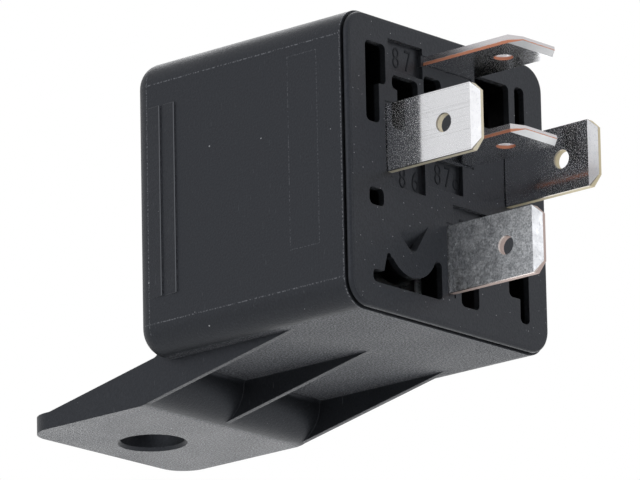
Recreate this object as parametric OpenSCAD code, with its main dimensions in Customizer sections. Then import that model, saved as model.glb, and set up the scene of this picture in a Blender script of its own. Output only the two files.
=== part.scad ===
// Five-pin changeover relay with a moulded mounting bracket.
// Frame: origin at the centre of the bracket's hole, on the plate's underside.
// +X points along the terminals, +Z up from the plate, Y across.

/* [Cover] */
// Width of the cover across the terminals' row
cover_w = 28; // [27:0.5:32]
// Height of the cover
cover_h = 28; // [26:0.5:32]
// Depth of the cover from its closed end to its rim
cover_len = 25.5; // [25.5:0.1:30]
// Wall of the cover
cover_wall = 1; // [0.8:0.1:1.2]
// Radius of the four long corners
cover_r = 2.6; // [2:0.2:3.4]
// Radius round the closed end
end_r = 1.8; // [1:0.2:1.8]
// Height of the grip ridges on the two sides
grip_h = 0.12; // [0.08:0.02:0.3]
// Length of one grip ridge's ramp
grip_ramp = 1.7; // [1:0.1:1.8]

/* [Bracket] */
// Width of the bracket's plate
bracket_w = 21.8; // [18:0.2:22.4]
// Hole centre to the cover's closed end
bracket_reach = 10.8; // [10:0.2:14]
// Hole centre to the plate's tip
tip_reach = 6.1; // [5.5:0.1:9]
// Thickness of the plate
plate_t = 1.6; // [1.4:0.1:2]
// Corner radius of the tip
tip_r = 2.7; // [1:0.1:4]
// Diameter of the fixing hole
hole_d = 6; // [4.5:0.1:6.6]
// Chamfer round both ends of the hole
hole_edge = 0.3; // [0.1:0.05:0.4]
// Diameter of the raised seat round the hole
seat_d = 11.6; // [9:0.2:12]
// Thickness of the plate at that seat
seat_t = 2.3; // [2.1:0.1:2.6]
// Underside of the plate to the underside of the cover
drop = 3.75; // [3.4:0.05:5]
// Thickness of each bracket rib
rib_t = 0.5; // [0.5:0.05:1.3]
// Rise of the ribs from the plate to the cover, in degrees
rib_angle = 11.4; // [10.5:0.1:14]
// Hole centre to where the ribs leave the plate's underside
rib_start = 8.5; // [7:0.1:9]
// Hole centre to where the side ribs rise above the plate
side_rib_start = -3; // [-4:0.5:0]
// Radius of the plate's heel between the ribs
heel_r = 3.5; // [2.5:0.1:3.7]

/* [Base] */
// Thickness of the base, flange included
base_t = 2.5; // [2:0.1:3.5]
// Thickness of the flange over the cover's rim
flange_t = 0.5; // [0.45:0.05:0.8]
// Open gap between the flange and the rim
flange_gap = 0.22; // [0.05:0.01:0.3]
// Flange inset from the cover's outside
flange_inset = 0.2; // [0.1:0.05:0.4]
// Radius round the flange's front edge
flange_edge = 0.4; // [0.2:0.05:0.42]
// Clearance of the base inside the cover
plug_clear = 0.1; // [0.05:0.01:0.2]
// Radius in the corners of the pockets
pocket_r = 0.5; // [0.3:0.05:0.6]
// Depth of the sunk number panels
panel_depth = 0.5; // [0.3:0.1:0.8]
// Radius of the round boss that bites into the lower pocket
boss_r = 3.42; // [3:0.02:3.5]
// Depth of the gate's scoop at its steep side
gate_depth = 1; // [0.4:0.1:1.2]
// Slope of the scoop's floor along its steep side, in degrees
gate_rise = 17; // [12:1:20]
// Slope of the floor away from that side, in degrees
gate_tilt = 20; // [14:1:24]
// Direction of the steep side, in degrees from upright
gate_turn = 33.8; // [20:0.2:45]

/* [Terminals] */
// Height of the terminals' middle row over the cover's middle
row_rise = 2.45; // [2:0.05:3]
// Distance between the two coil terminals
coil_pitch = 16.6; // [16.2:0.1:17]
// Middle terminal to the upper one
upper_pitch = 8.4; // [8:0.1:8.6]
// Middle terminal to the lower one
lower_pitch = 9.8; // [9.6:0.1:10]
// Width of a blade
blade_w = 6.3; // [5.8:0.1:6.5]
// Thickness of a blade
blade_t = 0.8; // [0.6:0.05:0.85]
// Length of a blade in front of the base
blade_len = 11; // [8:0.5:13]
// Length of the tip's chamfers and bevels
tip_len = 1.05; // [0.6:0.05:1.6]
// Width taken off each tip corner
tip_cut = 0.92; // [0.5:0.02:1.4]
// Thickness left at the tip
tip_t = 0.35; // [0.3:0.05:0.6]
// Diameter of the latch hole
latch_d = 1.8; // [1.4:0.1:2.2]
// Latch hole to the blade's tip
latch_back = 4.2; // [3:0.1:5]
// Clearance round a blade's thickness in the base
slot_side = 0.13; // [0.05:0.01:0.2]
// Clearance at each end of a blade's width in the base
slot_end = 0.35; // [0.1:0.05:0.4]

/* [Magnet] */
// Thickness of the iron yoke
yoke_t = 1.6; // [1.2:0.1:1.7]
// Width of the yoke
yoke_w = 12; // [9:0.5:12.5]
// Length of the bobbin
bobbin_len = 12.5; // [11:0.1:12.6]
// Radius of the bobbin's flanges
bobbin_r = 6.8; // [6.4:0.1:6.9]
// Thickness of a bobbin flange
bobbin_flange = 0.9; // [0.7:0.1:1.2]
// Outer radius of the winding
coil_r = 6; // [5:0.1:6.2]
// Radius of the iron core
core_r = 3; // [2.5:0.1:3.2]
// Thickness of the core's pole head
pole_t = 1; // [0.8:0.1:1.2]
// Thickness of the armature
armature_t = 1.5; // [1.2:0.1:1.6]
// Opening angle of the armature at rest, in degrees
open_angle = 2.6; // [1.5:0.1:2.6]
// Gap that stays between the armature and the pole when it is pulled in
pull_gap = 0.05; // [0.03:0.01:0.1]
// Thickness of the contact spring
spring_t = 0.2; // [0.15:0.01:0.25]
// Radius of the spring's bend, inside
spring_bend = 0.8; // [0.6:0.05:1]
// Height of the contacts over the terminals' middle row
contact_rise = 5.6; // [5.4:0.1:5.8]
// Radius of the contact heads
contact_r = 1.5; // [1:0.1:1.6]
// Gap left at a closed contact's crown
contact_gap = 0.03; // [0.02:0.01:0.08]

/* [Hidden] */
$fn = 48;
eps = 0.01;
fit = 0.03;             // radial clearance of fixed fits
far = 60;               // reach of plain cuts

// Cover and base
rim_x = bracket_reach + cover_len;
face_x = rim_x + flange_gap + flange_t;         // front face of the base
gate_land = [-5.4, -9.1];                       // round boss and scoop, from the middle terminal
gate_at = [-5.3, -9.92];
gate_size = [3.2, 4.4];
gate_r = 0.8;
horn_r = 0.27;                                  // tip of the lower pocket beside the boss
inner_x = face_x - base_t;                      // back face of the base
mid_z = drop + cover_h / 2;
row_z = mid_z + row_rise;
cavity_x = bracket_reach + cover_wall;
cavity_w = cover_w - 2 * cover_wall;
cavity_h = cover_h - 2 * cover_wall;
cavity_r = cover_r - cover_wall;
floor_z = drop + cover_wall;
corner_rib = 2.2;                               // side of the ribs in the cavity's corners
seat_gap = 0.05;                                // base to those ribs
grip_at = [3.5, 5.3];                           // crests of the grip ridges, from the closed end
grip_margin = [5.05, 4.8];                      // ridges' ends to the cover's bottom and top
grip_x = [bracket_reach + grip_at[0], bracket_reach + grip_at[1]];
grip_low = drop + grip_margin[0];
grip_high = drop + cover_h - grip_margin[1];
grip_root = 0.3;                                // how far the ridges run into the wall
plate_in = 0.5;                                 // how far the ribs run into the cover
fillet_r = 0.8;                                 // where the side ribs meet the closed end
heel_fillet = 0.35;                             // behind the heel, under the cover

// Places of the terminals: y, z
place_86 = [-coil_pitch / 2, row_z];
place_85 = [coil_pitch / 2, row_z];
place_87 = [0, row_z + upper_pitch];
place_87a = [0, row_z];
place_30 = [0, row_z - lower_pitch];
tip_x = face_x + blade_len;
shoulder = 0.6;                                 // shoulder of a terminal behind the base
shoulder_len = 1;
strip_w = 3.4;                                  // inner strips of the contact terminals
bend_r = 0.4;                                   // inside radius of the strips' bends

// Magnet, from the base inwards
tab_gap = 2.3;                                  // base to the yoke's upright leg
flange_lift = 0.25;                             // bobbin's flanges to the yoke
rivet_head = 0.5;
rivet_r = 0.8;
rivet_head_r = 1.4;
yoke_x1 = inner_x - tab_gap;
yoke_x0 = yoke_x1 - yoke_t;
pole_x = yoke_x0 - bobbin_len - pole_t;
yoke_lift = 0.5;                                // cover's floor to the rivets' heads
yoke_z = floor_z + yoke_lift + rivet_head + spring_t;
coil_z = yoke_z + yoke_t + flange_lift + bobbin_r;
yoke_rise = 4;                                  // coil's axis to the yoke's top
yoke_top = coil_z + yoke_rise;
yoke_bend = 0.3;
tail_step = 1;
tail_r = core_r - tail_step;                    // core's tail through the yoke
head_cut = 0.3;                                 // chamfer of the riveted heads
tail_head_r = tail_r + head_cut;
pole_r = 4.8;
foot_gap = 0.1;                                 // armature's foot over the yoke's lower face
pivot = [pole_x - pull_gap, yoke_z + foot_gap];
armature_rise = 4.7;
armature_top = coil_z + armature_rise;
armature_cut = 1;
spring_w = 8;
tongue_w = 5;
spring_reach = 7;                               // spring's flat leg under the yoke
spring_end = pole_x + spring_reach;
spring_rivet_at = 4.6;
spring_rivet_x = pole_x + spring_rivet_at;
spring_rivet_y = 2.4;
armature_rivets_at = [4.2, 9.4];
armature_rivet_z = [pivot[1] + armature_rivets_at[0], pivot[1] + armature_rivets_at[1]];

// Contacts: where the moving one stands pulled in and at rest
contact_z = row_z + contact_rise;
head_t = 0.7;
fixed_head_t = 0.5;
crown_h = 0.2;                                  // crown of the contact faces
crown_r = 0.5;
shank_r = 0.7;
peen = 0.15;
spring_face = pivot[0] - armature_t;
rest_shift = (contact_z - pivot[1]) * sin(open_angle);
make_x = spring_face + head_t + contact_gap;
break_x = spring_face - spring_t - head_t - contact_gap - rest_shift;
strip_x = make_x + fixed_head_t;                // upright strip of terminal 87
pad_x = break_x - fixed_head_t;                 // face of the pad of terminal 87a
runner_gap = 0.3;                               // terminal 85 to the long strip of terminal 87a
runner_y = coil_pitch / 2 - blade_t / 2 - runner_gap;
riser_gap = 1.1;                                // base to the riser of terminal 87a
riser_x = inner_x - riser_gap - blade_t;
tab_w = 4.4;
tab_len = 6;
tab_rivet_y = 3.4;

// Coil and resistor connections
lead_r = 0.15;
lead_angle = 52;
lead_y = (coil_r + lead_r + fit) * cos(lead_angle);
lead_z = coil_z + (coil_r + lead_r + fit) * sin(lead_angle);
lead_back = 0.35;
lead_x = yoke_x0 + lead_back;
lead_notch = 0.4;
lead_start = 0.7;                               // of each lead along the winding
resistor_r = 0.8;
resistor_cap_r = 0.9;
resistor_len = 6;
resistor_cap = 1.4;
resistor_lead_r = 0.3;
resistor_in = 0.62;                             // resistor's axis to the yoke's outer face
resistor_x = yoke_x1 - resistor_in;
resistor_down = 0.65;                           // resistor's axis under the coil terminals' upper edge
wire_over = 0.4;                                // wires past the coil terminals
wire_end = coil_pitch / 2 + blade_t / 2 + wire_over;
leg_drop = 1.7;
leg_z0 = row_z - leg_drop;
leg_z1 = row_z + blade_w / 2;
leg_over = 0.5;                                 // coil terminals' legs past the bobbin's flange
leg_end = yoke_x0 - bobbin_flange - leg_over;
resistor_z = leg_z1 - resistor_down;
ear_in = 4;                                     // bobbin's ears: inner and outer ends, margins, corners
ear_out = 1.1;
ear_below = 0.7;
ear_above = 0.5;
ear_r = 0.4;
ear_gap = 0.1;                                  // ears to the terminals' legs
barrel_wall = 0.9;

// Rounded rectangle between two corners
module rounded_rect(low, high, r) {
    translate([low[0] + r, low[1]]) square([high[0] - low[0] - 2 * r, high[1] - low[1]]);
    translate([low[0], low[1] + r]) square([high[0] - low[0], high[1] - low[1] - 2 * r]);
    for (y = [low[0] + r, high[0] - r], z = [low[1] + r, high[1] - r]) translate([y, z]) circle(r);
}

// Plain rectangle between two corners
module box2(low, high) {
    translate(low) square(high - low);
}

// Quarter ring round c: quadrant 0 is +x +y, then anticlockwise
module elbow(c, r_in, t, quadrant) {
    translate(c) intersection() {
        difference() {
            circle(r_in + t);
            circle(r_in);
        }
        rotate(90 * quadrant) square(r_in + t + 1);
    }
}

// A drawing in Y and Z, pushed along X from x0 to x1
module along_x(x0, x1) {
    translate([x0, 0, 0]) rotate([90, 0, 90]) linear_extrude(x1 - x0) children();
}

// A drawing in X and Z, pushed along Y from y0 to y1
module along_y(y0, y1) {
    translate([0, y1, 0]) rotate([90, 0, 0]) linear_extrude(y1 - y0) children();
}

// A drawing in X and Y, pushed along Z from z0 to z1
module along_z(z0, z1) {
    translate([0, 0, z0]) linear_extrude(z1 - z0) children();
}

// Rods along the three axes
module rod_x(x0, x1, y, z, r) {
    translate([x0, y, z]) rotate([0, 90, 0]) cylinder(h = x1 - x0, r = r);
}

module rod_y(y0, y1, x, z, r) {
    translate([x, y1, z]) rotate([90, 0, 0]) cylinder(h = y1 - y0, r = r);
}

module rod_z(z0, z1, x, y, r) {
    translate([x, y, z0]) cylinder(h = z1 - z0, r = r);
}

// Turns what is drawn for the pulled-in armature to where it rests
module at_rest() {
    translate([pivot[0], 0, pivot[1]]) rotate([0, -open_angle, 0])
        translate([-pivot[0], 0, -pivot[1]]) children();
}

// Lengthways section with both corners rounded at x = 0
module end_section(half, len, r) {
    intersection() {
        box2([0, -half], [len, half]);
        union() {
            box2([r, -half], [len, half]);
            box2([0, r - half], [len, half - r]);
            for (s = [-1, 1]) translate([r, s * (half - r)]) circle(r);
        }
    }
}

// The same for a corner post: distance from its axis, then from the end
module post_section(u, len, r) {
    intersection() {
        box2([0, 0], [u, len]);
        union() {
            translate([u - r, r]) circle(r);
            box2([0, 0], [u - r, len]);
            box2([0, r], [u, len]);
        }
    }
}

// Block along X with round long corners and a rounded edge round its end at x = 0
module end_rounded_block(len, w, h, r, edge) {
    y1 = w / 2 - r;
    z1 = h / 2 - r;
    along_z(-z1, z1) end_section(w / 2, len, edge);
    along_y(-y1, y1) end_section(h / 2, len, edge);
    for (c = [[1, 1, 0], [-1, 1, 90], [-1, -1, 180], [1, -1, 270]])
        translate([0, c[0] * y1, c[1] * z1]) rotate([c[2], 0, 0]) rotate([90, 0, 90])
            rotate_extrude(angle = 90) post_section(r, len, edge);
}

// Bracket: plate and heel between the ribs, in X and Z
heel = [cavity_x - heel_r, heel_r];
top_heel_r = heel_r - plate_t;
top_heel = [bracket_reach - top_heel_r, heel_r];
end_axis = [bracket_reach + end_r, drop + end_r];
rib_end = rib_start + drop / tan(rib_angle);

module plate_section() {
    difference() {
        union() {
            box2([-tip_reach, 0], [heel[0], plate_t]);
            intersection() {
                translate(heel) circle(heel_r);
                box2(heel - [0, heel_r], heel + [heel_r, 0]);
            }
            box2([bracket_reach - eps, heel_r], [cavity_x, drop + eps]);
            box2([bracket_reach, drop], [end_axis[0], end_axis[1]]);
            difference() {
                box2([cavity_x, drop - heel_fillet], [cavity_x + heel_fillet, drop + eps]);
                translate([cavity_x + heel_fillet, drop - heel_fillet]) circle(heel_fillet);
            }
        }
        box2([-tip_reach - 1, plate_t], [top_heel[0], far]);
        translate(top_heel) circle(top_heel_r);
    }
}

// Side rib, blended into the rounded edge of the closed end
rib_u = [cos(rib_angle), sin(rib_angle)];
rib_n = [-sin(rib_angle), cos(rib_angle)];
rib_p = [side_rib_start, plate_t] + fillet_r * rib_n - end_axis;
rib_s = -rib_p * rib_u - sqrt(pow(rib_p * rib_u, 2) - rib_p * rib_p + pow(end_r + fillet_r, 2));
fillet_c = end_axis + rib_p + rib_s * rib_u;
fillet_low = fillet_c - fillet_r * rib_n;
fillet_high = end_axis + (fillet_c - end_axis) * end_r / (end_r + fillet_r);

module side_rib_section() {
    rise = tan(rib_angle);
    polygon([[-tip_reach, 0], [rib_start, 0], [rib_end, drop], [rib_end, drop + plate_in],
             [end_axis[0], plate_t + (end_axis[0] - side_rib_start) * rise],
             [side_rib_start, plate_t], [-tip_reach, plate_t]]);
    difference() {
        polygon([fillet_low, [end_axis[0], fillet_low[1]], end_axis, fillet_high]);
        translate(fillet_c) circle(fillet_r);
    }
}

// Rib under the middle of the heel
module middle_rib_section() {
    mid = heel_r - plate_t / 2;
    polygon([[heel[0] - 2, 0], [rib_start, 0], [rib_end, drop], [rib_end, drop + plate_in],
             [heel[0] + mid, drop + plate_in], [heel[0] + mid, heel_r],
             [heel[0] + mid * cos(45), heel_r - mid * sin(45)], [heel[0], plate_t / 2],
             [heel[0] - 2, plate_t / 2]]);
}

module bracket_outline() {
    rounded_rect([-tip_reach, -bracket_w / 2], [rib_end + tip_r, bracket_w / 2], tip_r);
}

module cover() {
    half = bracket_w / 2;
    color([0.21, 0.22, 0.24]) difference() {
        union() {
            translate([bracket_reach, 0, mid_z])
                end_rounded_block(cover_len, cover_w, cover_h, cover_r, end_r);
            intersection() {
                union() {
                    along_y(-half, half) plate_section();
                    along_y(-half, rib_t - half) side_rib_section();
                    along_y(half - rib_t, half) side_rib_section();
                    along_y(-rib_t / 2, rib_t / 2) middle_rib_section();
                }
                along_z(-1, mid_z) bracket_outline();
            }
            cylinder(h = seat_t, r = seat_d / 2);
            // Grip ridges on both sides
            for (x = grip_x, s = [-1, 1]) along_z(grip_low, grip_high)
                polygon([[x - grip_ramp, s * cover_w / 2], [x, s * (cover_w / 2 + grip_h)],
                         [x, s * (cover_w / 2 - grip_root)], [x - grip_ramp, s * (cover_w / 2 - grip_root)]]);
        }
        // Cavity, with a rib in each corner for the base to seat on
        difference() {
            along_x(cavity_x, rim_x + 1)
                rounded_rect([-cavity_w / 2, floor_z], [cavity_w / 2, floor_z + cavity_h], cavity_r);
            for (s = [-1, 1], t = [-1, 1])
                translate([0, s * cavity_w / 2, mid_z + t * cavity_h / 2])
                    along_x(cavity_x - 1, inner_x - seat_gap)
                        box2([-corner_rib, -corner_rib], [corner_rib, corner_rib]);
        }
        // Fixing hole, chamfered at both ends
        rod_z(-1, far / 10, 0, 0, hole_d / 2);
        translate([0, 0, -eps]) cylinder(h = hole_edge + eps, r1 = hole_d / 2 + hole_edge, r2 = hole_d / 2);
        translate([0, 0, seat_t - hole_edge])
            cylinder(h = hole_edge + eps, r1 = hole_d / 2, r2 = hole_d / 2 + hole_edge);
    }
}

// Pockets through the base, in Y and Z from the middle terminal
module pockets() {
    rounded_rect([-11.4, 4.95], [-8.6, 8.75], pocket_r);
    rounded_rect([-11.4, 1.15], [-9.55, 7], pocket_r);
    rounded_rect([-7.75, 4.83], [-4.15, 6.2], pocket_r);
    rounded_rect([-7.05, 2.6], [-4.15, 6.2], pocket_r);
    rounded_rect([-3.3, 3.2], [-0.85, 7.05], pocket_r);
    rounded_rect([3.95, 3.9], [8.8, 8.65], pocket_r);
    rounded_rect([9.63, 1.15], [11, 8.8], pocket_r);
    rounded_rect([-11.2, -6.65], [-9.2, -5], pocket_r);
    difference() {
        union() {
            rounded_rect([-10.9, -13.85], [-1.33, -12.63], pocket_r);
            rounded_rect([-4.5, -13.85], [-1.33, -10.35], pocket_r);
            polygon([[-9.5, -13], [-8.94, -11.05], [-8.4, -11.1], [-5.4, -12.3], [-2, -12.3], [-2, -13]]);
            translate([-8.67, -11.08]) circle(horn_r);
        }
        translate(gate_land) circle(boss_r);
    }
    rounded_rect([1.33, -13.85], [3.85, -9.5], pocket_r);
    rounded_rect([1.33, -11.4], [5.1, -9.5], pocket_r);
    rounded_rect([8.15, -11.6], [11, -7.6], pocket_r);
    rounded_rect([9.7, -13.85], [11, -8], pocket_r);
}

// Sunk panels beside the terminals, where their numbers stand
module panels() {
    box2([-8.2, 6.6], [-3.4, 9.55]);
    box2([-8.2, -4.4], [-3.35, -1.4]);
    box2([3.35, -4.4], [8.2, -1.4]);
    box2([-3, -3.4], [1.95, -0.45]);
    box2([0.45, -7.3], [5.2, -4.43]);
}

module blade_slot(place, turned) {
    half = [blade_w / 2 + slot_end, blade_t / 2 + slot_side];
    size = turned ? [half[1], half[0]] : half;
    box2(place - size, place + size);
}

module base() {
    color([0.23, 0.23, 0.25]) difference() {
        union() {
            translate([face_x, 0, mid_z]) rotate([0, 0, 180])
                end_rounded_block(flange_t, cover_w - 2 * flange_inset, cover_h - 2 * flange_inset,
                                  cover_r - flange_inset, flange_edge);
            along_x(inner_x, face_x - flange_t + 0.05)
                rounded_rect([plug_clear - cavity_w / 2, floor_z + plug_clear],
                             [cavity_w / 2 - plug_clear, floor_z + cavity_h - plug_clear],
                             cavity_r - plug_clear);
        }
        along_x(inner_x - 1, face_x + 1) {
            blade_slot(place_30, true);
            blade_slot(place_85, true);
            blade_slot(place_86, true);
            blade_slot(place_87, false);
            blade_slot(place_87a, false);
            translate([0, row_z]) pockets();
        }
        along_x(face_x - panel_depth, face_x + 1) translate([0, row_z]) panels();
        // Sloping scoop of the moulding gate: steep on one side, fading out on the other
        translate([face_x - gate_depth, gate_at[0], row_z + gate_at[1]]) rotate([-gate_turn, 0, 0])
            rotate([0, gate_rise, gate_tilt])
                along_x(0, 4) rounded_rect([-gate_size[0], 0], [0, gate_size[1]], gate_r);
    }
}

// Outline of a blade along X, centred across: with its shoulders, latch hole and cut tip
module blade_outline() {
    half = blade_w / 2;
    difference() {
        union() {
            polygon([[inner_x - shoulder_len, -half], [tip_x - tip_len, -half], [tip_x, tip_cut - half],
                     [tip_x, half - tip_cut], [tip_x - tip_len, half], [inner_x - shoulder_len, half]]);
            box2([inner_x - shoulder_len, -half - shoulder], [inner_x - fit, half + shoulder]);
        }
        translate([tip_x - latch_back, 0]) circle(latch_d / 2);
    }
}

// Section of the same blade from x0 to its bevelled tip
module blade_section(x0) {
    half = blade_t / 2;
    polygon([[x0, -half], [tip_x - tip_len, -half], [tip_x, -tip_t / 2],
             [tip_x, tip_t / 2], [tip_x - tip_len, half], [x0, half]]);
}

module terminal_30() {
    z0 = place_30[1] - blade_w / 2;
    half = blade_t / 2;
    corner = [yoke_x1 + blade_t + bend_r, half + bend_r];
    color([0.72, 0.7, 0.68]) difference() {
        intersection() {
            along_y(-far, far) {
                translate([0, place_30[1]]) blade_outline();
                box2([yoke_x1, z0], [inner_x - shoulder_len + eps, z0 + tab_w]);
            }
            along_z(0, far) {
                blade_section(corner[0]);
                elbow(corner, bend_r, blade_t, 2);
                box2([yoke_x1, corner[1]], [yoke_x1 + blade_t, tab_len]);
            }
        }
        rod_x(yoke_x0, inner_x, tab_rivet_y, z0 + tab_w / 2, rivet_r + fit);
    }
}

// Coil terminals: straight, with a leg that carries the coil's and the resistor's wires
module coil_terminal(place) {
    difference() {
        intersection() {
            along_y(-far, far) {
                translate([0, place[1]]) blade_outline();
                box2([leg_end, leg_z0], [inner_x - shoulder_len + eps, leg_z1]);
            }
            translate([0, place[0], 0]) along_z(0, far) blade_section(leg_end);
        }
        rod_y(-far, far, lead_x, lead_z, lead_r + fit);
        rod_y(-far, far, resistor_x, resistor_z, resistor_lead_r + fit);
    }
}

module terminal_85() {
    color([0.72, 0.7, 0.68]) coil_terminal(place_85);
}

module terminal_86() {
    color([0.72, 0.7, 0.68]) coil_terminal(place_86);
}

module terminal_87() {
    z1 = place_87[1] - blade_t / 2;
    corner = [strip_x + blade_t + bend_r, z1 - bend_r];
    color([0.72, 0.7, 0.68]) difference() {
        intersection() {
            along_z(0, far) {
                blade_outline();
                box2([strip_x, -strip_w / 2], [inner_x - shoulder_len + eps, strip_w / 2]);
            }
            along_y(-far, far) {
                translate([0, place_87[1]]) blade_section(corner[0]);
                elbow(corner, bend_r, blade_t, 1);
                box2([strip_x, contact_z - strip_w / 2], [strip_x + blade_t, corner[1]]);
            }
        }
        rod_x(strip_x - 1, strip_x + 2, 0, contact_z, shank_r + fit);
    }
}

module terminal_87a() {
    z0 = place_87a[1] + blade_t / 2;
    z1 = contact_z - strip_w / 2;
    corner = [riser_x + blade_t + bend_r, z0 + bend_r];
    turn_1 = [riser_x - bend_r, runner_y - blade_t - bend_r];
    turn_2 = [pad_x + bend_r, turn_1[1]];
    color([0.72, 0.7, 0.68]) difference() {
        union() {
            // Blade, bent up behind the base
            intersection() {
                along_z(0, far) {
                    blade_outline();
                    box2([riser_x, -strip_w / 2], [inner_x - shoulder_len + eps, strip_w / 2]);
                }
                along_y(-far, far) {
                    translate([0, place_87a[1]]) blade_section(corner[0]);
                    elbow(corner, bend_r, blade_t, 2);
                    box2([riser_x, corner[1]], [riser_x + blade_t, z1 + strip_w]);
                }
            }
            // Strip round the magnet to the contact at the closed end
            along_z(z1, z1 + strip_w) {
                box2([riser_x, -strip_w / 2], [riser_x + blade_t, turn_1[1]]);
                elbow(turn_1, bend_r, blade_t, 0);
                box2([turn_2[0], runner_y - blade_t], [turn_1[0], runner_y]);
                elbow(turn_2, bend_r, blade_t, 1);
                box2([pad_x - blade_t, -strip_w / 2], [pad_x, turn_2[1]]);
            }
        }
        rod_x(pad_x - 2, pad_x + 1, 0, contact_z, shank_r + fit);
    }
}

module yoke() {
    corner = [yoke_x0 - yoke_bend, yoke_z + yoke_t + yoke_bend];
    color([0.55, 0.56, 0.58]) difference() {
        along_y(-yoke_w / 2, yoke_w / 2) {
            box2([pole_x, yoke_z], [corner[0], yoke_z + yoke_t]);
            elbow(corner, yoke_bend, yoke_t, 3);
            box2([yoke_x0, corner[1]], [yoke_x1, yoke_top]);
        }
        rod_x(yoke_x0 - 1, yoke_x1 + 1, 0, coil_z, tail_r + fit);
        rod_x(yoke_x0 - 1, yoke_x1 + 1, tab_rivet_y, place_30[1] + (tab_w - blade_w) / 2, rivet_r + fit);
        for (s = [-1, 1])
            rod_z(yoke_z - 1, yoke_z + yoke_t + 1, spring_rivet_x, s * spring_rivet_y, rivet_r + fit);
    }
}

module core() {
    color([0.6, 0.61, 0.63]) {
        rod_x(pole_x, pole_x + pole_t, 0, coil_z, pole_r);
        rod_x(pole_x + pole_t / 2, yoke_x0 - fit, 0, coil_z, core_r);
        rod_x(yoke_x0 - 1, yoke_x1 + fit, 0, coil_z, tail_r);
        translate([yoke_x1 + fit, 0, coil_z]) rotate([0, 90, 0])
            cylinder(h = rivet_head, r1 = tail_head_r, r2 = tail_head_r - head_cut);
    }
}

module bobbin() {
    x0 = pole_x + pole_t + fit;
    x1 = yoke_x0 - fit;
    barrel_r = core_r + barrel_wall;
    ear_y = coil_pitch / 2 + ear_out;
    color([0.86, 0.84, 0.78]) difference() {
        union() {
            rod_x(x0, x1, 0, coil_z, barrel_r);
            rod_x(x0, x0 + bobbin_flange, 0, coil_z, bobbin_r);
            rod_x(x1 - bobbin_flange, x1, 0, coil_z, bobbin_r);
            // Ears that grip the coil terminals
            for (s = [-1, 1]) along_x(x1 - bobbin_flange, x1)
                rounded_rect([s > 0 ? ear_in : -ear_y, leg_z0 - ear_below],
                             [s > 0 ? ear_y : -ear_in, leg_z1 + ear_above], ear_r);
        }
        rod_x(x0 - 1, x1 + 1, 0, coil_z, core_r + fit);
        for (s = [-1, 1]) {
            along_x(x1 - bobbin_flange - 1, x1 + 1)
                box2([s * coil_pitch / 2 - blade_t / 2 - ear_gap, leg_z0 - ear_gap],
                     [s * coil_pitch / 2 + blade_t / 2 + ear_gap, leg_z1 + ear_gap]);
            rod_x(x1 - bobbin_flange - 1, x1 + 1, s * lead_y, lead_z, lead_notch);
        }
    }
}

module coil_winding() {
    x0 = pole_x + pole_t + bobbin_flange + 2 * fit;
    x1 = yoke_x0 - bobbin_flange - 2 * fit;
    color([0.7, 0.33, 0.16]) difference() {
        rod_x(x0, x1, 0, coil_z, coil_r);
        rod_x(x0 - 1, x1 + 1, 0, coil_z, core_r + barrel_wall + fit);
    }
}

module coil_leads() {
    start = yoke_x0 - bobbin_flange - lead_start;
    color([0.7, 0.33, 0.16]) for (s = [-1, 1]) {
        rod_x(start, lead_x, s * lead_y, lead_z, lead_r);
        translate([lead_x, s * lead_y, lead_z]) sphere(lead_r);
        rod_y(s > 0 ? lead_y : -wire_end, s > 0 ? wire_end : -lead_y, lead_x, lead_z, lead_r);
    }
}

module terminal_rivet() {
    z = place_30[1] + (tab_w - blade_w) / 2;
    x = yoke_x1 + blade_t;
    color([0.7, 0.7, 0.72]) {
        rod_x(yoke_x0 + fit, x + fit, tab_rivet_y, z, rivet_r);
        translate([x + fit, tab_rivet_y, z]) rotate([0, 90, 0])
            cylinder(h = rivet_head, r1 = rivet_head_r, r2 = rivet_head_r - head_cut);
    }
}

module yoke_rivets() {
    color([0.7, 0.7, 0.72]) for (s = [-1, 1]) {
        z = yoke_z - spring_t - fit;
        rod_z(z, yoke_z + yoke_t - fit, spring_rivet_x, s * spring_rivet_y, rivet_r);
        translate([spring_rivet_x, s * spring_rivet_y, z - rivet_head])
            cylinder(h = rivet_head, r1 = rivet_head_r - head_cut, r2 = rivet_head_r);
    }
}

module armature() {
    x0 = pivot[0] - armature_t;
    color([0.6, 0.61, 0.63]) at_rest() difference() {
        along_y(-yoke_w / 2, yoke_w / 2)
            polygon([[pivot[0], pivot[1]], [pivot[0], armature_top], [x0, armature_top],
                     [x0, pivot[1] + armature_cut], [x0 + armature_cut, pivot[1]]]);
        for (z = armature_rivet_z) rod_x(x0 - 1, pivot[0] + 1, 0, z, rivet_r + fit);
    }
}

// Spring: one leaf, flat under the yoke, bent up and leaning with the armature at rest
bend_c = [(pivot[0] * cos(open_angle) + (pivot[1] - yoke_z - spring_bend) * sin(open_angle)
           - armature_t + spring_bend) / cos(open_angle), yoke_z + spring_bend];
leaf_n = [-cos(open_angle), -sin(open_angle)];
leaf_u = [-sin(open_angle), cos(open_angle)];
leaf_foot = bend_c + spring_bend * leaf_n;
leaf_over = 0.5;                                // leaf past its contact and over the armature's top
leaf_len = contact_z + contact_r + leaf_over - leaf_foot[1];

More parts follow.
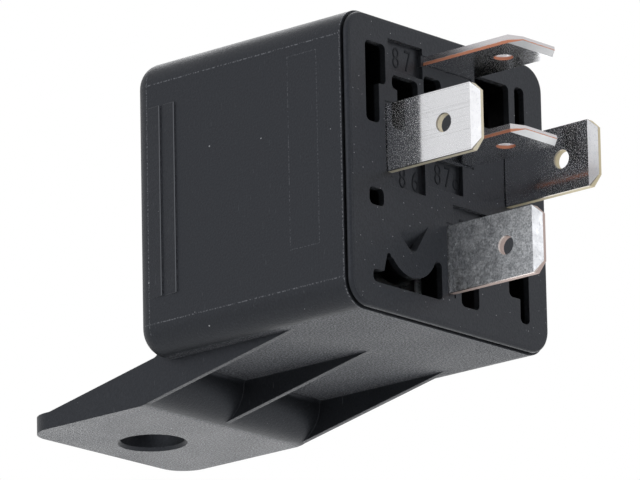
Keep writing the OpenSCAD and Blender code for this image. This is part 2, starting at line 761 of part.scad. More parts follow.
module contact_spring() {
    steps = 8;
    outer = spring_bend + spring_t;
    arc = [for (i = [0:steps]) 180 + open_angle + (90 - open_angle) * i / steps];
    color([0.78, 0.6, 0.3]) difference() {
        intersection() {
            along_y(-spring_w / 2, spring_w / 2)
                polygon(concat(
                    [leaf_foot + leaf_len * leaf_u + spring_t * leaf_n],
                    [for (a = arc) bend_c + outer * [cos(a), sin(a)]],
                    [[spring_end, yoke_z - spring_t], [spring_end, yoke_z]],
                    [for (i = [0:steps]) bend_c + spring_bend * [cos(arc[steps - i]), sin(arc[steps - i])]],
                    [leaf_foot + leaf_len * leaf_u]));
            // Narrow tongue above the armature
            along_x(0, far) {
                box2([-spring_w / 2, 0], [spring_w / 2, armature_top - leaf_over]);
                box2([-tongue_w / 2, 0], [tongue_w / 2, far]);
            }
        }
        for (s = [-1, 1]) rod_z(yoke_z - 1, yoke_z + 1, spring_rivet_x, s * spring_rivet_y, rivet_r + fit);
        at_rest() {
            for (z = armature_rivet_z) rod_x(spring_face - 1, spring_face + 1, 0, z, rivet_r + fit);
            rod_x(spring_face - 1, spring_face + 1, 0, contact_z, shank_r + fit);
        }
    }
}

module armature_rivets() {
    x = spring_face - spring_t - fit;
    color([0.7, 0.7, 0.72]) at_rest() for (z = armature_rivet_z) {
        rod_x(x, pivot[0] - fit, 0, z, rivet_r);
        translate([x - rivet_head, 0, z]) rotate([0, 90, 0])
            cylinder(h = rivet_head, r1 = rivet_head_r - head_cut, r2 = rivet_head_r);
    }
}

// Contact head with a crowned face: flat back at x = 0, face towards -X
module contact_head(t) {
    rotate([0, -90, 0]) {
        cylinder(h = t - crown_h, r = contact_r);
        translate([0, 0, t - crown_h]) cylinder(h = crown_h, r1 = contact_r, r2 = crown_r);
    }
}

module moving_contact() {
    color([0.8, 0.8, 0.78]) at_rest() {
        translate([spring_face - spring_t - fit, 0, contact_z]) contact_head(head_t - fit);
        rod_x(spring_face - spring_t - fit, spring_face + fit, 0, contact_z, shank_r);
        translate([spring_face + fit, 0, contact_z]) rotate([0, 0, 180]) contact_head(head_t - fit);
    }
}

module make_contact() {
    color([0.8, 0.8, 0.78]) translate([strip_x, 0, contact_z]) {
        contact_head(fixed_head_t);
        rod_x(-0.1, blade_t + peen, 0, 0, shank_r);
    }
}

module break_contact() {
    color([0.8, 0.8, 0.78]) translate([pad_x, 0, contact_z]) rotate([0, 0, 180]) {
        contact_head(fixed_head_t);
        rod_x(-0.1, blade_t + peen, 0, 0, shank_r);
    }
}

module resistor_body() {
    color([0.35, 0.5, 0.62]) {
        rod_y(-resistor_len / 2, resistor_len / 2, resistor_x, resistor_z, resistor_r);
        for (s = [-1, 1])
            rod_y(s > 0 ? resistor_len / 2 - resistor_cap : -resistor_len / 2,
                  s > 0 ? resistor_len / 2 : resistor_cap - resistor_len / 2,
                  resistor_x, resistor_z, resistor_cap_r);
    }
}

module resistor_leads() {
    color([0.75, 0.74, 0.72]) for (s = [-1, 1])
        rod_y(s > 0 ? resistor_len / 2 : -wire_end, s > 0 ? wire_end : -resistor_len / 2,
              resistor_x, resistor_z, resistor_lead_r);
}

cover();
base();
terminal_30();
terminal_85();
terminal_86();
terminal_87();
terminal_87a();
yoke();
core();
bobbin();
coil_winding();
coil_leads();
terminal_rivet();
yoke_rivets();
armature();
contact_spring();
armature_rivets();
moving_contact();
make_contact();
break_contact();
resistor_body();
resistor_leads();
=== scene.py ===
import bpy
import math
from mathutils import Matrix, Vector


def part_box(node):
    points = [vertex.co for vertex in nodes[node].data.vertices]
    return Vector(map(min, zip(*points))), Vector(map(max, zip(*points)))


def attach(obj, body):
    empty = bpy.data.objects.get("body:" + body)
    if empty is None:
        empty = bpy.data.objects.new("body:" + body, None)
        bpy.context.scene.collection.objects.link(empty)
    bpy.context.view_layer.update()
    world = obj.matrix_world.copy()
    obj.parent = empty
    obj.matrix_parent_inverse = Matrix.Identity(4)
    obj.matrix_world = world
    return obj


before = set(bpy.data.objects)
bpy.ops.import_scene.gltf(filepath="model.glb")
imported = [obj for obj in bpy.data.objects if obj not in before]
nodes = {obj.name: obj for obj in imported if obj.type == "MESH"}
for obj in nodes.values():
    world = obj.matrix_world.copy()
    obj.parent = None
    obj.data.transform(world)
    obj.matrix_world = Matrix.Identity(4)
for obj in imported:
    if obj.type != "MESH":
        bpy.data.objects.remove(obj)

MM = 0.001
scene = bpy.context.scene
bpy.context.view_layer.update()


# ---------- small helpers ----------

def linear(code):
    """sRGB hex to the linear colour that a socket takes."""
    parts = [int(code[i:i + 2], 16) / 255 for i in (1, 3, 5)]
    return tuple(c / 12.92 if c <= 0.04045 else ((c + 0.055) / 1.055) ** 2.4 for c in parts) + (1.0,)


def add(tree, kind, inputs=None, out=0, **settings):
    """Adds a shader node: its settings, then its sockets, each a value or another node's output. Gives the
    output that out names or numbers."""
    made = tree.nodes.new("ShaderNode" + kind)
    for name, value in settings.items():
        setattr(made, name, value)
    for name, value in (inputs or {}).items():
        if isinstance(value, bpy.types.NodeSocket):
            tree.links.new(value, made.inputs[name])
        else:
            made.inputs[name].default_value = value
    return made.outputs[out] if len(made.outputs) else None


def new_material(name):
    made = bpy.data.materials.new(name)
    made.use_nodes = True
    made.node_tree.nodes.clear()
    return made, made.node_tree


def finish_material(made, surface, colour, metallic, roughness):
    """Output, and the plain finish that viewers without nodes show."""
    add(made.node_tree, "OutputMaterial", {"Surface": surface})
    made.diffuse_color = linear(colour)
    made.metallic = metallic
    made.roughness = roughness
    return made


def low(node_name):
    return Vector(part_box(node_name)[0])


def high(node_name):
    return Vector(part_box(node_name)[1])


def deselect_all():
    bpy.ops.object.select_all(action="DESELECT")


def settle(piece, name, material):
    """Puts the new piece's place into its mesh, dresses it, and lets it ride with the base."""
    bpy.ops.object.transform_apply(location=True, rotation=True, scale=True)
    piece.name = name
    piece.data.materials.clear()
    piece.data.materials.append(material)
    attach(piece, "relay")


# ---------- places that more than one piece needs ----------

face_x = high("base").x                                          # the base's outer face
row_z = (low("terminal_86").z + high("terminal_86").z) / 2       # middle of the middle row of blades
PANEL_DEPTH = 0.5                                                # of the sunk number panels, in mm

# The middle of each blade, in mm across and up from row_z, and whether it stands upright
BLADES = {"87": (0, 8.4, False), "87a": (0, 0, False), "86": (-8.3, 0, True), "85": (8.3, 0, True),
          "30": (0, -9.8, True)}
BLADE_SLOT = (3.5, 0.53)                                         # half its width and half its height, in mm


# ---------- moulded plastics ----------

# The pale grey serves wear, witness lines and scuffs, and painted highlights on edges, ridge crests and the rim
PALE_WEAR_AND_HIGHLIGHT_GREY, DUST_GREY, SPARKED_GREY = "#75777C", "#A2A4A8", "#64666B"
SPARK_MM = 0.17           # craters of the spark-eroded underside, drawn coarser than they are, so that they show
FLOW_MM = 7               # cloudiness where the melt flowed
BREAK_MM = 0.2            # breaks in the witness lines
DUST_MM = 0.7             # one speck at most in each such cell
SCUFFS_PER_METRE = (9000.0, 9000.0, 700.0)       # fine handling scuffs, 0.1 mm wide and over 1 mm long

# Witness lines and painted highlights on the cover, in mm: heights and lengths in the solids' frame
CORNER_LINES_Z = (29.15, 6.35)
END_LINE_X, PLATE_TOP_Z = 12.6, 4.0
CREST_LINES_X, CREST_SPAN_Z = (14.22, 16.02), (8.8, 26.9)
INSERT_X, INSERT_Z = (29.9, 33.4), (10.0, 28.2)
RIM_LINE_X = 36.2


def band(tree, value, low_at, high_at, soft):
    """1 between two places along a value, 0 outside, with soft borders."""
    rise = add(tree, "MapRange", {"Value": value, "From Min": low_at - soft, "From Max": low_at + soft})
    fall = add(tree, "MapRange", {"Value": value, "From Min": high_at - soft, "From Max": high_at + soft,
                                  "To Min": 1.0, "To Max": 0.0})
    return add(tree, "Math", {0: rise, 1: fall}, operation="MULTIPLY")


def strongest(tree, marks):
    """The strongest of several marks at each place."""
    most = marks[0]
    for mark in marks[1:]:
        most = add(tree, "Math", {0: most, 1: mark}, operation="MAXIMUM")
    return most


def witness_lines_and_highlights(tree, place, normal):
    """Fine pale lines where the mould's parts meet and print, broken up as on a worn mould: on the two sides
    along the long corners and down the closed end, and round the bare marking insert. The pale lines on the
    crests of the grip ridges and the broken one all round the rim are painted highlights."""
    x = add(tree, "SeparateXYZ", {"Vector": place}, "X")
    z = add(tree, "SeparateXYZ", {"Vector": place}, "Z")
    broken = add(tree, "TexNoise", {"Vector": place, "Scale": 1 / (BREAK_MM * MM), "Detail": 2.0})
    gaps = add(tree, "MapRange", {"Value": broken, "From Min": 0.46, "From Max": 0.6, "To Max": 0.8})
    side = add(tree, "Math", {0: add(tree, "SeparateXYZ", {"Vector": normal}, "Y")}, operation="ABSOLUTE")
    on_side = add(tree, "MapRange", {"Value": side, "From Min": 0.9, "From Max": 0.97})

    def line(value, where, width=0.1):
        return band(tree, value, (where - width / 2) * MM, (where + width / 2) * MM, 0.03 * MM)

    def framed(grow):
        return add(tree, "Math", {
            0: band(tree, x, (INSERT_X[0] - grow) * MM, (INSERT_X[1] + grow) * MM, 0.02 * MM),
            1: band(tree, z, (INSERT_Z[0] - grow) * MM, (INSERT_Z[1] + grow) * MM, 0.02 * MM),
        }, operation="MULTIPLY")

    above_plate = add(tree, "MapRange", {"Value": z, "From Min": PLATE_TOP_Z * MM,
                                         "From Max": (PLATE_TOP_Z + 0.3) * MM})
    end_line = add(tree, "Math", {0: line(x, END_LINE_X), 1: above_plate}, operation="MULTIPLY")
    joints = strongest(tree, [line(z, where) for where in CORNER_LINES_Z] + [end_line])
    # Painted highlights along the grip ridges' crests
    crests = add(tree, "Math", {
        0: strongest(tree, [line(x, where) for where in CREST_LINES_X]),
        1: band(tree, z, CREST_SPAN_Z[0] * MM, CREST_SPAN_Z[1] * MM, 0.02 * MM)}, operation="MULTIPLY")
    insert = add(tree, "Math", {0: framed(0.03), 1: framed(-0.05)}, operation="SUBTRACT")
    faint_gaps = add(tree, "Math", {0: gaps, 1: 0.5}, operation="MULTIPLY")
    side_marks = strongest(tree, [
        add(tree, "Math", {0: mark, 1: strength}, operation="MULTIPLY")
        for mark, strength in ((joints, gaps), (crests, 0.6), (insert, faint_gaps))])
    on_sides = add(tree, "Math", {0: on_side, 1: side_marks}, operation="MULTIPLY")
    # Painted highlight: a broken pale line round the cover's rim edge
    rim = add(tree, "Math", {0: line(x, RIM_LINE_X, 0.12), 1: gaps}, operation="MULTIPLY")
    return strongest(tree, [on_sides, rim])


def scuffs(tree, place):
    """A few faint scuffs from handling."""
    streaks = add(tree, "Mapping", {"Vector": place, "Rotation": (0.0, 0.25, 0.0), "Scale": SCUFFS_PER_METRE})
    rubs = add(tree, "TexNoise", {"Vector": streaks, "Scale": 1.0, "Detail": 1.0})
    return add(tree, "MapRange", {"Value": rubs, "From Min": 0.73, "From Max": 0.8, "To Max": 0.35})


def dust_specks(tree, place, amount):
    """Specks of dust up to 0.08 mm across the middle, in the share of the cells that amount gives."""
    distance = add(tree, "TexVoronoi", {"Vector": place, "Scale": 1 / (DUST_MM * MM)}, "Distance")
    chance = add(tree, "SeparateColor", {"Color": distance.node.outputs["Color"]}, "Red")
    reach = add(tree, "MapRange", {"Value": chance, "From Min": 1.0 - amount, "From Max": 1.0, "To Max": 0.12})
    return add(tree, "Math", {0: distance, 1: reach}, operation="LESS_THAN")


def moulded(name, colour, roughness, grain_mm, grain_depth_mm, edge_mm=0.1, fleck=None, dust=0.0, edge_wear_and_highlight=0.0,
            is_cover=False, is_base=False):
    """Moulded plastic. The eye reads its colour, and a sheen that the mould's fine grain breaks up. A black
    moulding gives a fleck: its grain shows that much paler, its underside is coarser and grey, its sharp edges
    that don't face down turn a little grey in the share the caller gives, partly as wear from handling and partly
    as a painted highlight, and specks of dust lie about. The cover has witness lines, painted highlights along
    the crests of its grip ridges and its rim, and scuffs, and its underside dulls towards the base. On the base the
    slanting floor of the gate's scoop runs out softly into the face, and the pockets' walls get painted shade:
    their colour near black and their reflections dimmed."""
    made, tree = new_material(name)
    place = add(tree, "TexCoord", out="Object")
    normal = add(tree, "TexCoord", out="Normal")
    x = add(tree, "SeparateXYZ", {"Vector": place}, "X")
    tilt = add(tree, "SeparateXYZ", {"Vector": normal}, "Z")
    below = add(tree, "MapRange", {"Value": tilt, "From Min": -0.975, "From Max": -0.999})
    grain = add(tree, "TexNoise", {"Vector": place, "Scale": 1 / (grain_mm * MM), "Detail": 3.0, "Roughness": 0.6})
    sparks = add(tree, "TexNoise", {"Vector": place, "Scale": 1 / (SPARK_MM * MM), "Detail": 2.0,
                                    "Roughness": 0.6})
    flow = add(tree, "TexNoise", {"Vector": place, "Scale": 1 / (FLOW_MM * MM), "Detail": 2.0})
    edge = add(tree, "Bevel", {"Radius": edge_mm * MM}, samples=4)

    # Gloss
    shade = add(tree, "MapRange", {"Value": flow, "From Min": 0.3, "From Max": 0.7,
                                   "To Min": roughness - 0.04, "To Max": roughness + 0.04})
    if is_cover:
        dull = add(tree, "MapRange", {"Value": x, "From Min": 9 * MM, "From Max": 20 * MM, "To Max": 0.17})
        shade = add(tree, "Math", {0: dull, 1: below, 2: shade}, operation="MULTIPLY_ADD")
    gleam = linear("#E6EDFF")

    # Colour
    tone = linear(colour)
    if fleck:
        mottle = add(tree, "MapRange", {"Value": grain, "From Min": 0.35, "From Max": 0.65})
        haze = add(tree, "MapRange", {"Value": flow, "From Min": 0.35, "From Max": 0.7, "To Max": 0.35})
        craters = add(tree, "MapRange", {"Value": sparks, "From Min": 0.46, "From Max": 0.6})
        turn = add(tree, "VectorMath", {0: edge, 1: add(tree, "NewGeometry", out="Normal")}, "Value",
                   operation="DOT_PRODUCT")
        # Sharp edges that don't face down turn pale grey: partly wear from handling, partly a painted edge highlight
        sharp = add(tree, "MapRange", {"Value": turn, "From Min": 0.985, "From Max": 0.9, "To Max": edge_wear_and_highlight})
        not_facing_down = add(tree, "MapRange", {"Value": tilt, "From Min": -0.5, "From Max": -0.1})
        rubbed_and_highlit = add(tree, "Math", {0: sharp, 1: not_facing_down}, operation="MULTIPLY")
        pale_marks_and_highlights = [add(tree, "Math", {0: rubbed_and_highlit, 1: grain}, operation="MULTIPLY")]
        if is_cover:
            pale_marks_and_highlights += [witness_lines_and_highlights(tree, place, normal), scuffs(tree, place)]
        for share, laid_over in (
                (mottle, fleck), (haze, fleck),
                (add(tree, "Math", {0: craters, 1: below}, operation="MULTIPLY"), SPARKED_GREY),
                (strongest(tree, pale_marks_and_highlights), PALE_WEAR_AND_HIGHLIGHT_GREY), (dust_specks(tree, place, dust), DUST_GREY)):
            tone = add(tree, "Mix", {0: share, 6: tone, 7: linear(laid_over)}, 2, data_type="RGBA")

    # Shape of the surface
    if is_base:
        facing = add(tree, "SeparateXYZ", {"Vector": normal}, "X")
        slanted = band(tree, facing, 0.83, 0.97, 0.01)
        level = add(tree, "MapRange", {"Value": x, "From Min": face_x - 0.6 * MM, "From Max": face_x},
                    interpolation_type="SMOOTHSTEP")
        deep = add(tree, "MapRange", {"Value": x, "From Min": face_x - (PANEL_DEPTH + 0.05) * MM,
                                      "From Max": face_x - (PANEL_DEPTH + 0.2) * MM})
        not_slanted = add(tree, "Math", {0: 1.0, 1: slanted}, operation="SUBTRACT")
        sunk = add(tree, "Math", {0: deep, 1: not_slanted}, operation="MULTIPLY")
        runs_out = add(tree, "Math", {0: level, 1: slanted}, operation="MULTIPLY")
        # Painted shade: walls deeper than the number panels, except the scoop's slanting floor, are coloured near
        # black and their reflections dimmed, for the shade inside the pockets
        tone = add(tree, "Mix", {0: sunk, 6: tone, 7: linear("#050506")}, 2, data_type="RGBA")
        gleam = add(tree, "Mix", {0: sunk, 6: gleam, 7: linear("#5A5C60")}, 2, data_type="RGBA")
        edge = add(tree, "Mix", {0: runs_out, 6: edge, 7: (1.0, 0.0, 0.0, 1.0)}, 2, data_type="RGBA")
    fine = add(tree, "Math", {0: grain, 1: 0.5}, operation="SUBTRACT")
    coarse = add(tree, "Math", {0: sparks, 1: 3.0, 2: -1.5}, operation="MULTIPLY_ADD")
    height = add(tree, "Mix", {0: below, 2: fine, 3: coarse})
    bump = add(tree, "Bump", {"Strength": 0.6, "Distance": grain_depth_mm * MM, "Height": height, "Normal": edge})
    body = add(tree, "BsdfPrincipled", {"Base Color": tone, "IOR": 1.5, "Roughness": shade,
                                        "Specular Tint": gleam, "Normal": bump})
    return finish_material(made, body, colour, 0.0, roughness)


# Near black with a soft sheen, matt and greyer underneath, and pale where the mould's parts met. Its edges that
# don't face down are paled partly by wear and partly as a painted highlight, and its grip ridges' crests and rim
# carry painted highlights. The grain of a few hundredths of a millimetre is drawn at 0.2 mm, so that it shows.
cover_plastic = moulded("Black PBT, fine spark-eroded mould", "#0B0C0E", 0.42, 0.2, 0.06, fleck="#1C1E21",
                        dust=0.09, edge_wear_and_highlight=0.55, is_cover=True)
# The same plastic from a smoother mould: a little glossier, with a faint mottle and crisper edges, and painted shade
# on its pocket walls
base_plastic = moulded("Black PBT, base moulding", "#111214", 0.38, 0.22, 0.035, edge_mm=0.04, fleck="#222427",
                       dust=0.2, is_base=True)
# The figures catch little light and read as thin dark strokes
figures_plastic = moulded("Black PBT, raised figures", "#0E0F10", 0.6, 0.2, 0.01)
# Cream and slightly waxy
bobbin_plastic = moulded("Natural nylon, moulded", "#DDD6C6", 0.45, 0.3, 0.01)
# Dipped lacquer, even and rather glossy
resistor_coat = moulded("Blue resistor lacquer", "#4E7890", 0.3, 0.5, 0.01)


# ---------- metals ----------

BRIGHT_TIN, SCORED_GREY, CRYSTAL_GREY = "#EBECEF", "#8F9092", "#7E8489"
ROLLING_PER_METRE = (40.0, 6500.0, 6500.0)       # lines 0.15 mm apart and 25 mm long, coarser than the real ones
CLOUD_MM, PIT_MM, SMEAR_MM, CRYSTAL_MM = 1.1, 0.1, 0.4, 0.16


def tinned_strip(name, blade, tin, core_metal, roughness, cloudy, scored=0.1, cut_at=0.16, pitted=0.25,
                 pits_from=-20.0, smooth_side_colour="#8F897F", film=0.0, bevel_dull=0.3, mottled=0.0):
    """Rolled strip, tin plated and then stamped. Its faces are bright tin with fine rolling lines, cloudy patches
    and pits, duller on the bevels. On cut edges and in the hole one side of the cut is smooth, with metal smeared
    over it, and the rest is torn bare metal; the smooth side's default colour, a dark grey-brown, is painted shade
    for the dark line along the brass blades' cut edges. cut_at is where the smooth side ends, in mm from
    the strip's middle, and pits_from the place along X, in mm, beyond which the pits are dense. cloudy, pitted and
    bevel_dull say how much rougher the patches, pits and bevels are, scored and mottled how strong the lines and
    the grey crystal are, and film is the weight of a dull film on the tin."""
    made, tree = new_material(name)
    place = add(tree, "TexCoord", out="Object")
    y, z, upright = BLADES[blade]
    across, middle, side = ("Y", y * MM, -1.0) if upright else ("Z", row_z + z * MM, 1.0)
    facing = add(tree, "Math", {0: add(tree, "SeparateXYZ", {"Vector": add(tree, "TexCoord", out="Normal")}, across)},
                 operation="ABSOLUTE")
    rolled = add(tree, "TexNoise", {"Vector": add(tree, "Mapping", {"Vector": place, "Scale": ROLLING_PER_METRE}),
                                    "Scale": 1.0, "Detail": 2.0})
    cloud = add(tree, "TexNoise", {"Vector": place, "Scale": 1 / (CLOUD_MM * MM), "Detail": 7.0, "Roughness": 0.8})
    speckle = add(tree, "TexNoise", {"Vector": place, "Scale": 1 / (PIT_MM * MM), "Detail": 2.0})
    smear = add(tree, "TexNoise", {"Vector": place, "Scale": 1 / (SMEAR_MM * MM), "Detail": 3.0})

    # Zones: face, bevel and the smooth side of the cut
    face = add(tree, "MapRange", {"Value": facing, "From Min": 0.45, "From Max": 0.75})
    flat = add(tree, "MapRange", {"Value": facing, "From Min": 0.985, "From Max": 0.995})
    depth = add(tree, "SeparateXYZ", {"Vector": place}, across)
    offset = add(tree, "Math", {0: add(tree, "Math", {0: depth, 1: middle}, operation="SUBTRACT"), 1: side / MM},
                 operation="MULTIPLY")
    uneven = add(tree, "Math", {0: smear, 1: 0.14, 2: -0.07}, operation="MULTIPLY_ADD")
    ragged = add(tree, "Math", {0: offset, 1: uneven}, operation="ADD")
    wiped = add(tree, "MapRange", {"Value": ragged, "From Min": cut_at - 0.03, "From Max": cut_at + 0.03,
                                   "To Max": 0.95})

    # Gloss
    patchy = add(tree, "MapRange", {"Value": cloud, "From Min": 0.4, "From Max": 0.62,
                                    "To Min": roughness, "To Max": roughness + cloudy})
    pits = add(tree, "MapRange", {"Value": speckle, "From Min": 0.555, "From Max": 0.66, "To Max": pitted})
    dense = add(tree, "MapRange", {"Value": add(tree, "SeparateXYZ", {"Vector": place}, "X"), "To Min": 0.2,
                                   "From Min": (pits_from - 1.5) * MM, "From Max": (pits_from + 1.5) * MM})
    bevelled = add(tree, "MapRange", {"Value": facing, "From Min": 0.995, "From Max": 0.985,
                                      "To Max": bevel_dull})
    face_gloss = add(tree, "Math", {0: pits, 1: dense, 2: patchy}, operation="MULTIPLY_ADD")
    face_gloss = add(tree, "Math", {0: face_gloss, 1: bevelled}, operation="ADD")
    edge_gloss = add(tree, "Mix", {0: wiped, 2: 0.65, 3: 0.25})
    gloss = add(tree, "Mix", {0: face, 2: edge_gloss, 3: face_gloss})

    # Colour
    line = add(tree, "MapRange", {"Value": rolled, "From Min": 0.59, "From Max": 0.69, "To Max": scored})
    line = add(tree, "Math", {0: line, 1: flat}, operation="MULTIPLY")
    tone = add(tree, "Mix", {0: cloud, 6: linear(tin), 7: linear(BRIGHT_TIN)}, 2, data_type="RGBA")
    tone = add(tree, "Mix", {0: line, 6: tone, 7: linear(SCORED_GREY)}, 2, data_type="RGBA")
    if mottled:
        crystal = add(tree, "TexNoise", {"Vector": place, "Scale": 1 / (CRYSTAL_MM * MM), "Detail": 4.0,
                                         "Roughness": 0.75})
        grey = add(tree, "MapRange", {"Value": crystal, "From Min": 0.42, "From Max": 0.6, "To Max": mottled})
        grey = add(tree, "Math", {0: grey, 1: flat}, operation="MULTIPLY")
        tone = add(tree, "Mix", {0: grey, 6: tone, 7: linear(CRYSTAL_GREY)}, 2, data_type="RGBA")
    # The smooth side's colour defaults to a dark grey-brown, painted shade for the brass blades' dark cut-edge line;
    # the paler colours given for the copper blades are the smeared tin itself
    cut_tone = add(tree, "Mix", {0: wiped, 6: linear(core_metal), 7: linear(smooth_side_colour)}, 2, data_type="RGBA")
    tone = add(tree, "Mix", {0: face, 6: cut_tone, 7: tone}, 2, data_type="RGBA")

    lined = add(tree, "Bump", {"Strength": 0.2, "Distance": 0.004 * MM, "Height": rolled})
    dented = add(tree, "Bump", {"Strength": 0.15, "Distance": 0.01 * MM, "Height": cloud, "Normal": lined})
    body = add(tree, "BsdfPrincipled", {"Base Color": tone, "Metallic": 1.0, "Roughness": gloss, "Normal": dented,
                                        "Coat Weight": film, "Coat Roughness": 0.7})
    return finish_material(made, body, tin, 1.0, roughness)


def plain_metal(name, colour, roughness, grain_mm, stretch=(1.0, 1.0, 1.0)):
    """Worked metal: one colour, its gloss broken by fine lines or grain."""
    made, tree = new_material(name)
    place = add(tree, "TexCoord", out="Object")
    grain = add(tree, "TexNoise", {"Vector": add(tree, "Mapping", {"Vector": place, "Scale": stretch}),
                                   "Scale": 1 / (grain_mm * MM), "Detail": 3.0})
    shade = add(tree, "MapRange", {"Value": grain, "From Min": 0.3, "From Max": 0.7,
                                   "To Min": roughness - 0.07, "To Max": roughness + 0.08})
    bump = add(tree, "Bump", {"Strength": 0.3, "Distance": 0.006 * MM, "Height": grain})
    body = add(tree, "BsdfPrincipled", {"Base Color": linear(colour), "Metallic": 1.0, "Roughness": shade,
                                        "Normal": bump})
    return finish_material(made, body, colour, 1.0, roughness)


def wound_wire(name, colour, roughness, wire_mm):
    """Enamelled copper wire wound in layers: fine rings round the coil's axis, along X, under clear enamel."""
    made, tree = new_material(name)
    place = add(tree, "TexCoord", out="Object")
    rings = add(tree, "TexWave", {"Vector": place, "Scale": math.pi / 20 / (wire_mm * MM), "Distortion": 0.4,
                                  "Detail": 1.0}, "Fac", bands_direction="X")
    bump = add(tree, "Bump", {"Strength": 0.8, "Distance": 0.05 * MM, "Height": rings})
    body = add(tree, "BsdfPrincipled", {"Base Color": linear(colour), "Metallic": 0.9, "Roughness": roughness,
                                        "Normal": bump, "Coat Weight": 0.6, "Coat Roughness": 0.2})
    return finish_material(made, body, colour, 0.9, roughness)


# Mirror bright below, with the copper core as a salmon line along its cut edge and pits towards its tip
copper_upper = tinned_strip("Tinned copper strip, upper blade", "87", "#F6F7FA", "#DC9C80", 0.13, 0.12,
                            cut_at=-0.1, pitted=0.6, pits_from=41.0, smooth_side_colour="#E4E3E6", film=0.3)
# The same strip, brighter and with fewer pits
copper_middle = tinned_strip("Tinned copper strip, middle blade", "87a", "#F6F7FA", "#DC9C80", 0.1, 0.1,
                             cut_at=-0.1, smooth_side_colour="#E4E3E6")
# Thick tin that has crystallised: a soft grey cloud instead of a mirror, and hardly any copper at the edges
copper_upright = tinned_strip("Tinned copper strip, clouded tin", "30", "#F4F7FC", "#D0BFBA", 0.3, 0.2,
                              pitted=0.5, smooth_side_colour="#D6CCC8", bevel_dull=0.0, mottled=0.7)
# Nearly a mirror, scored along its length and pitted, with pale yellow brass along its cut edges and painted shade on
# their smooth side
brass_near = tinned_strip("Tinned brass strip, near blade", "86", "#FBFBFE", "#EBE3CE", 0.07, 0.04, scored=0.3,
                          pitted=0.6, film=1.0)
# The same strip with clear pits only towards its tip
brass_far = tinned_strip("Tinned brass strip, far blade", "85", "#F6F7FA", "#DDD3B8", 0.07, 0.1, pitted=0.9,
                         pits_from=42.0, film=0.3)
# Pale grey and satin, like all zinc plated magnet iron
plated_iron = plain_metal("Zinc plated soft iron", "#B9BBBD", 0.32, 0.4)
rivet_steel = plain_metal("Plated rivet", "#C4C5C7", 0.3, 0.3)
# Warm and satin, with lines along the way it was rolled
spring_copper = plain_metal("Rolled spring copper", "#C2946A", 0.26, 0.2, stretch=(1.0, 1.0, 0.05))
contact_silver = plain_metal("Silver alloy contact", "#D9D7D2", 0.3, 0.2)
tinned_wire = plain_metal("Tinned copper wire", "#C9C7C2", 0.28, 0.3)
# Dark red-brown and glossy, as fine rings
enamelled_copper = wound_wire("Enamelled copper winding", "#8E4A22", 0.3, 0.14)

for name, material in {
        "cover": cover_plastic, "base": base_plastic, "bobbin": bobbin_plastic, "resistor_body": resistor_coat,
        "terminal_30": copper_upright, "terminal_87": copper_upper, "terminal_87a": copper_middle,
        "terminal_85": brass_far, "terminal_86": brass_near,
        "yoke": plated_iron, "core": plated_iron, "armature": plated_iron,
        "terminal_rivet": rivet_steel, "yoke_rivets": rivet_steel, "armature_rivets": rivet_steel,
        "contact_spring": spring_copper, "moving_contact": contact_silver, "make_contact": contact_silver,
        "break_contact": contact_silver, "resistor_leads": tinned_wire, "coil_leads": enamelled_copper,
        "coil_winding": enamelled_copper}.items():
    nodes[name].data.materials.clear()
    nodes[name].data.materials.append(material)
    deselect_all()
    nodes[name].select_set(True)
    bpy.context.view_layer.objects.active = nodes[name]
    bpy.ops.object.shade_smooth_by_angle(angle=math.radians(28))


# ---------- terminal numbers, standing in the base's sunk panels ----------

FIGURE_WIDTH, FIGURE_HEIGHT, FIGURE_RELIEF = 0.86, 1.95, 0.1        # in mm
SMALL_LETTER = 0.52                                                  # its height, as a share of a figure's


def number(text, centres, z):
    """A terminal number in thin raised figures on its panel's floor, in mm: each figure centred at its place
    across, and all at z from row_z. A small letter stands on the same line as the figures."""
    pieces = []
    for figure, y in zip(text, centres):
        tall = FIGURE_HEIGHT * (SMALL_LETTER if figure.islower() else 1.0)
        deselect_all()
        bpy.ops.object.text_add()
        strokes = bpy.context.object.data
        strokes.body = "\u0251" if figure == "a" else figure        # the letter's round form
        strokes.extrude = 0.5
        strokes.offset = -0.008
        strokes.resolution_u = 6
        bpy.ops.object.convert(target="MESH")
        piece = bpy.context.object
        points = [v.co.copy() for v in piece.data.vertices]
        first = [min(p[i] for p in points) for i in range(3)]
        last = [max(p[i] for p in points) for i in range(3)]
        for v in piece.data.vertices:
            across, up, out = [(v.co[i] - (first[i] + last[i]) / 2) / (last[i] - first[i]) for i in range(3)]
            v.co = (face_x + (out * FIGURE_RELIEF - PANEL_DEPTH) * MM, (y + across * FIGURE_WIDTH) * MM,
                    row_z + (z + (tall - FIGURE_HEIGHT) / 2 + up * tall) * MM)
        pieces.append(piece)
    deselect_all()
    for piece in pieces:
        piece.select_set(True)
    bpy.context.view_layer.objects.active = pieces[0]
    bpy.ops.object.join()
    settle(bpy.context.object, "number_" + text, figures_plastic)


number("87", (-6.55, -4.9), 8.1)
number("86", (-6.0, -4.25), -3.1)
number("87a", (-1.04, 0.35, 1.5), -1.8)
number("30", (2.3, 3.85), -6.4)


# ---------- plastic that closes round each blade in its slot ----------

SLOT_FILL = (-0.08, -1.18)                                   # from just under the face inwards, in mm


def sealed_slot(blade):
    """A blade's slot, closed up to just under the face: the blade looks moulded in, with a fine shadow round it."""
    y, z, upright = BLADES[blade]
    half_y, half_z = reversed(BLADE_SLOT) if upright else BLADE_SLOT
    deselect_all()
    bpy.ops.mesh.primitive_cube_add(
        size=2, location=(face_x + sum(SLOT_FILL) / 2 * MM, y * MM, row_z + z * MM))
    filling = bpy.context.object
    filling.scale = ((SLOT_FILL[0] - SLOT_FILL[1]) / 2 * MM, half_y * MM, half_z * MM)
    settle(filling, "sealed_slot_" + blade, base_plastic)


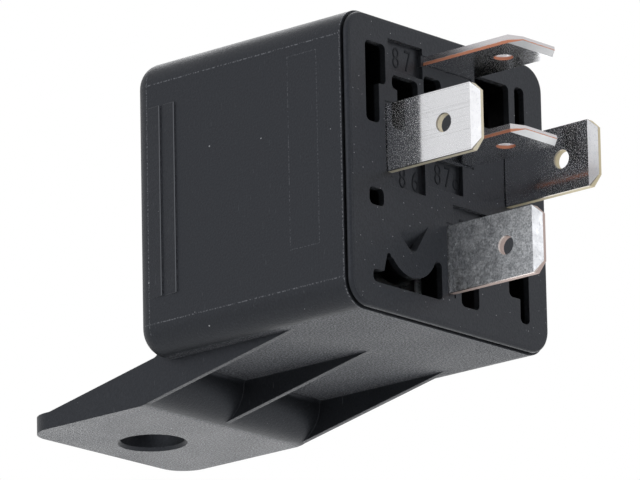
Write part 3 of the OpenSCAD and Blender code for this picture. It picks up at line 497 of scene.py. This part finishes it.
def flush_plate(name, low_y, high_y, low_z, high_z):
    """A thin plate level with the base's face, over a sunk place that the object doesn't have there. Its sides
    are in mm, across and up from row_z."""
    deselect_all()
    bpy.ops.mesh.primitive_plane_add(
        size=1, location=(face_x + 0.004 * MM, (low_y + high_y) / 2 * MM, row_z + (low_z + high_z) / 2 * MM),
        rotation=(0, math.pi / 2, 0))
    plate = bpy.context.object
    plate.scale = ((high_z - low_z) * MM, (high_y - low_y) * MM, 1)
    settle(plate, name, base_plastic)


flush_plate("flush_plate_85", 3.25, 7.77, -4.5, -1.3)
flush_plate("flush_plate_85_foot", 7.77, 8.3, -4.5, -3.5)
for blade in BLADES:
    sealed_slot(blade)


# ---------- floor, light and camera ----------

def pale(name, colour):
    """Backdrop finish: its own colour in the light, and nearly plain white where the camera sees it."""
    made, tree = new_material(name)
    direct = add(tree, "Math", {0: add(tree, "LightPath", out="Is Camera Ray"),
                                1: add(tree, "LightPath", out="Is Transmission Ray")}, operation="MAXIMUM")
    body = add(tree, "BsdfPrincipled", {"Base Color": linear(colour), "Roughness": 0.9})
    glow = add(tree, "Emission", {"Color": linear("#FFFFFF"), "Strength": 1.0})
    share = add(tree, "Math", {0: direct, 1: 0.6}, operation="MULTIPLY")
    return finish_material(made, add(tree, "MixShader", {0: share, 1: body, 2: glow}), colour, 0.0, 0.9)


deselect_all()
bpy.ops.mesh.primitive_plane_add(size=8, location=(0, 0, -0.25))
floor = bpy.context.object
floor.name = "studio_floor"
bpy.ops.object.mode_set(mode="EDIT")
bpy.ops.mesh.select_all(action="SELECT")
bpy.ops.mesh.subdivide(number_cuts=3)
bpy.ops.object.mode_set(mode="OBJECT")
floor.data.materials.append(pale("Pale studio floor", "#F2F2F0"))

world = bpy.data.worlds.new("White studio")
scene.world = world
world.use_nodes = True
sky = world.node_tree
sky.nodes.clear()
around = add(sky, "Background", {"Color": linear("#FFFFFF"), "Strength": 0.75})
behind = add(sky, "Background", {"Color": linear("#FFFFFF"), "Strength": 1.0})
add(sky, "OutputWorld", {"Surface": add(sky, "MixShader", {
    0: add(sky, "LightPath", out="Is Camera Ray"), 1: around, 2: behind})})


def softbox(name, offset, size, power):
    """A soft lamp that faces the middle of the relay from an offset in metres."""
    data = bpy.data.lights.new(name, "AREA")
    data.shape = "RECTANGLE"
    data.size, data.size_y = size
    data.energy = power
    lamp = bpy.data.objects.new(name, data)
    scene.collection.objects.link(lamp)
    lamp.location = Vector((0.02, 0, 0.016)) + Vector(offset)
    lamp.rotation_euler = (-Vector(offset)).to_track_quat("-Z", "Y").to_euler()


softbox("softbox_behind", (-0.36, 0.42, -0.2), (0.4, 0.3), 0.58)
softbox("softbox_left", (-0.1, -0.58, 0.12), (0.3, 0.3), 0.22)
softbox("softbox_above", (-0.33, 0.27, 0.42), (0.3, 0.3), 0.5)

# A long lens from the near side, below the base's blades
eye = bpy.data.cameras.new("camera")
eye.sensor_width = 36
eye.lens = 421.875
eye.clip_start = 0.01
eye.clip_end = 50
camera = bpy.data.objects.new("camera", eye)
scene.collection.objects.link(camera)
right = Vector((0.75089, 0.66014, -0.01941)).normalized()
up = Vector((0.19309, -0.19134, 0.96234))
back = right.cross(up).normalized()
up = back.cross(right)
camera.matrix_world = Matrix.Translation((0.45872, -0.50310, -0.17233)) @ Matrix(
    (right, up, back)).transposed().to_4x4()
scene.camera = camera

scene.view_settings.view_transform = "Standard"
